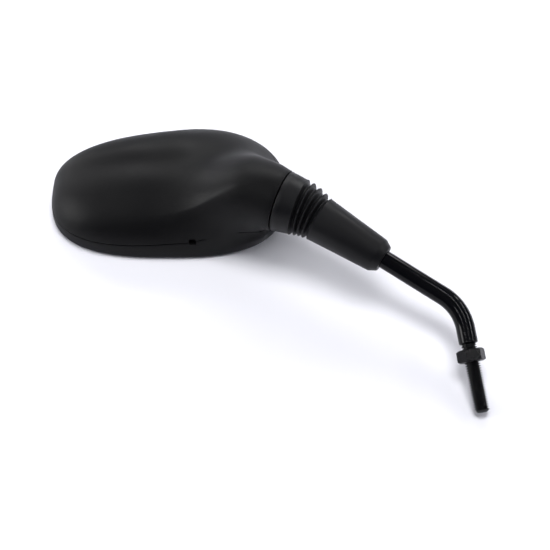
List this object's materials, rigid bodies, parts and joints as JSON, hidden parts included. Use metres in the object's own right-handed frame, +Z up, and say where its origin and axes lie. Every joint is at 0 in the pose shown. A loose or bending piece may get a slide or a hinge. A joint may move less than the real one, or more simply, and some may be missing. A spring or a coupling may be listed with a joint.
{
  "type": "motorcycle rear view mirror",
  "caption": "Round-cornered matt black mirror for the right handlebar, on a bent gloss black stem with a threaded stud, a lock nut and a folded rubber boot.",
  "frame": {"origin": "on the axis of the stud, in the underside of the lock nut, where the nut meets the bracket", "axes": "+Z up along the stud, towards the head; +X outboard, away from the machine, the way the stem leans; +Y the way the rider looks, so the glass faces -Y"},
  "size_m": [0.2261, 0.078, 0.1954],
  "materials": {
    "stem_paint": "gloss",
    "nut_steel": "satin",
    "zinc_steel": "satin",
    "shell_plastic": "matt",
    "tube_plastic": "matt",
    "cup_plastic": "satin",
    "boot_rubber": "matt",
    "pad_foam": "matt",
    "mirror_glass": "polished"
  },
  "bodies": {
    "stem_side": {"stem": "stem_paint", "stem_ball": "zinc_steel", "ball_washer": "zinc_steel", "ball_nut": "zinc_steel"},
    "nut": {"lock_nut": "nut_steel"},
    "boot": {"rubber_boot": "boot_rubber"},
    "cup": {"pressure_cup": "cup_plastic"},
    "head": {"socket_tube": "tube_plastic", "retaining_ring": "zinc_steel", "disc_spring_1": "zinc_steel", "disc_spring_2": "zinc_steel", "disc_spring_3": "zinc_steel", "preload_plug": "zinc_steel", "back_shell": "shell_plastic", "front_bezel": "shell_plastic", "backing_plate": "tube_plastic", "foam_pad": "pad_foam", "glass_gasket": "boot_rubber", "mirror_glass": "mirror_glass"}
  },
  "joints": [
    {"name": "lock_nut_travel", "type": "slide", "parent": "stem_side", "child": "nut", "axis": [0, 0, 1], "range_m": [-0.017, 0.0022]},
    {"name": "head_roll", "type": "hinge", "parent": "stem_side", "child": "boot", "pos_m": [0.07314, 0, 0.0975], "axis": [0.7314, 0, 0.682], "range_deg": [-45, 45]},
    {"name": "head_tilt", "type": "hinge", "parent": "boot", "child": "cup", "pos_m": [0.07314, 0, 0.0975], "axis": [0, 1, 0], "range_deg": [-28, 6], "deforming": ["rubber_boot"]},
    {"name": "head_spin", "type": "hinge", "parent": "cup", "child": "head", "pos_m": [0.07314, 0, 0.0975], "axis": [0.8495, -0.0104, 0.5274], "range_deg": [-30, 30], "deforming": ["rubber_boot"]}
  ]
}
